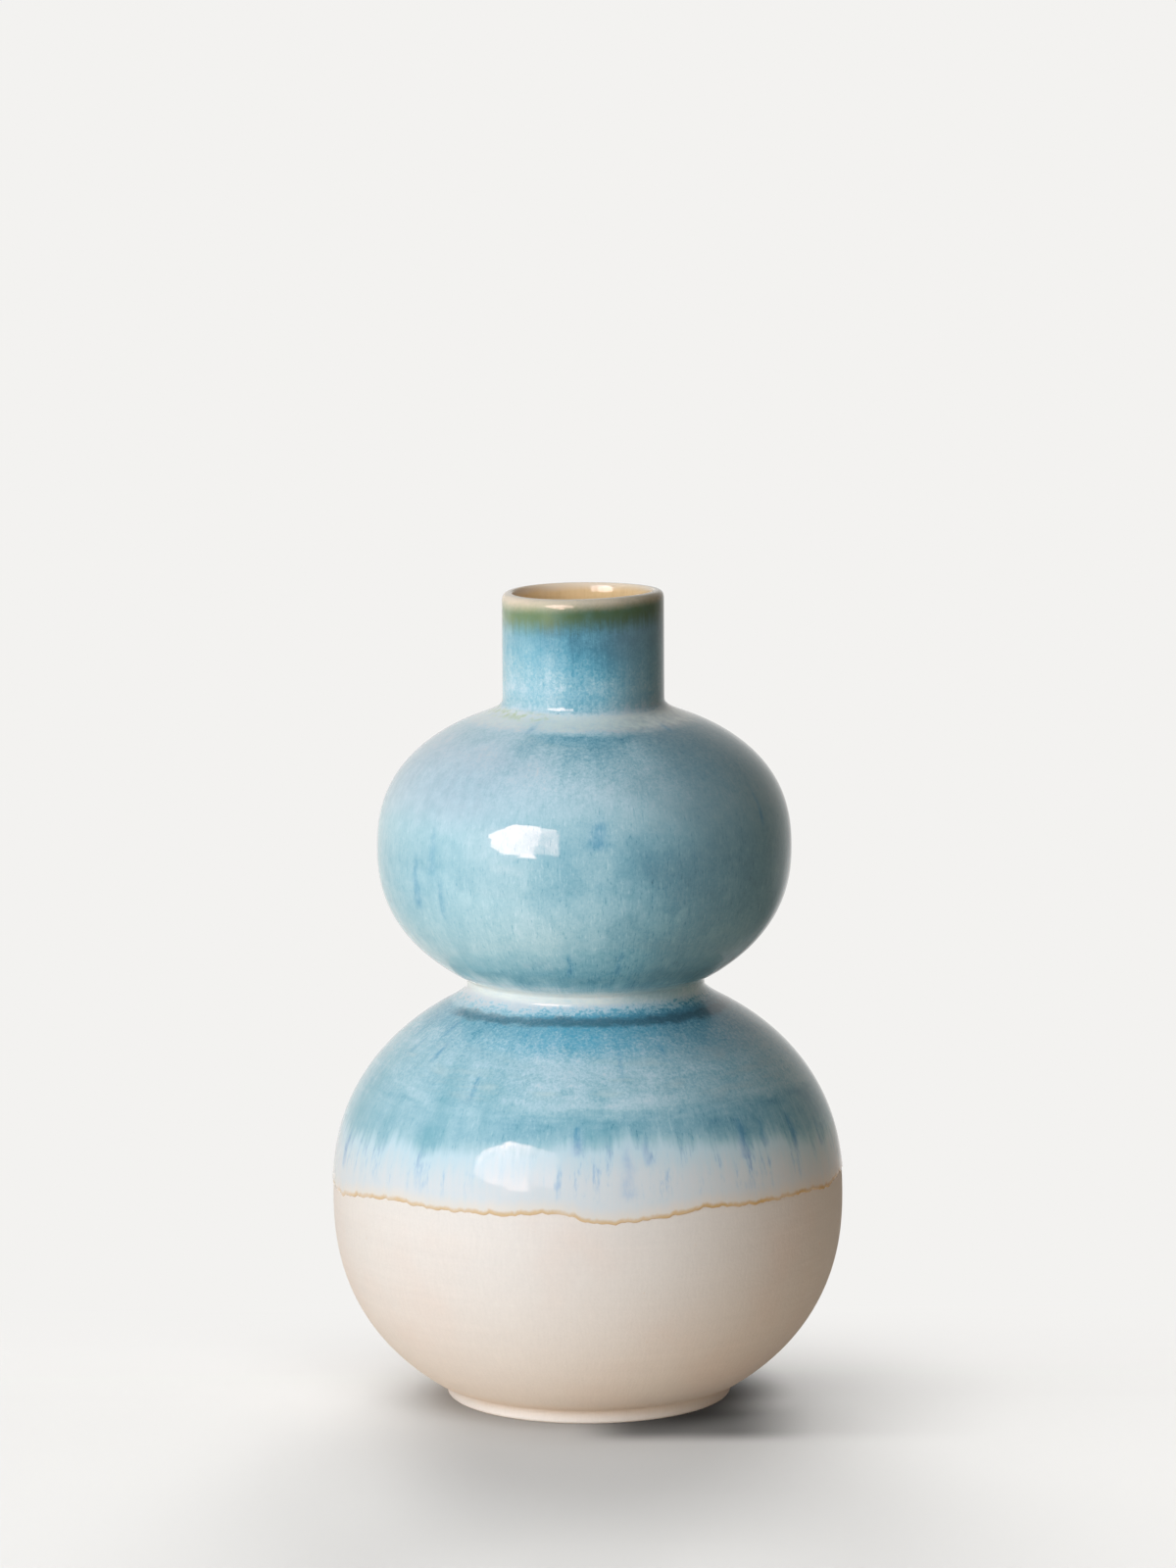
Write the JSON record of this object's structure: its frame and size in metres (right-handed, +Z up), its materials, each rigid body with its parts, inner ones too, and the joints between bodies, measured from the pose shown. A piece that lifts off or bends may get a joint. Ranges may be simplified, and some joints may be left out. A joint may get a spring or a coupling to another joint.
{
  "type": "vase",
  "caption": "Double-gourd stoneware vase with a straight neck, a foot ring, a glazed upper part and a bare clay base, for holding flower stems.",
  "frame": {"origin": "centre of the foot ring's underside, on the surface the vase stands on", "axes": "+Z up along the vase's axis; -Y is the side that faces the camera in the picture"},
  "size_m": [0.1392, 0.1388, 0.2204],
  "materials": {
    "bare_clay": "matte fired stoneware, cream to pink",
    "slip": "matte fired slip",
    "blue_glaze": "glossy run glaze, pale aqua to blue with milky and olive bands",
    "sand_glaze": "glossy sand-coloured liner glaze"
  },
  "bodies": {
    "root": {"foot_ring": "bare_clay", "foot_slip": "slip", "lower_bulb": "bare_clay", "waist_slip": "slip", "upper_bulb": "bare_clay", "neck_slip": "slip", "neck": "bare_clay", "outer_glaze": "blue_glaze", "inner_glaze": "sand_glaze"}
  },
  "joints": []
}
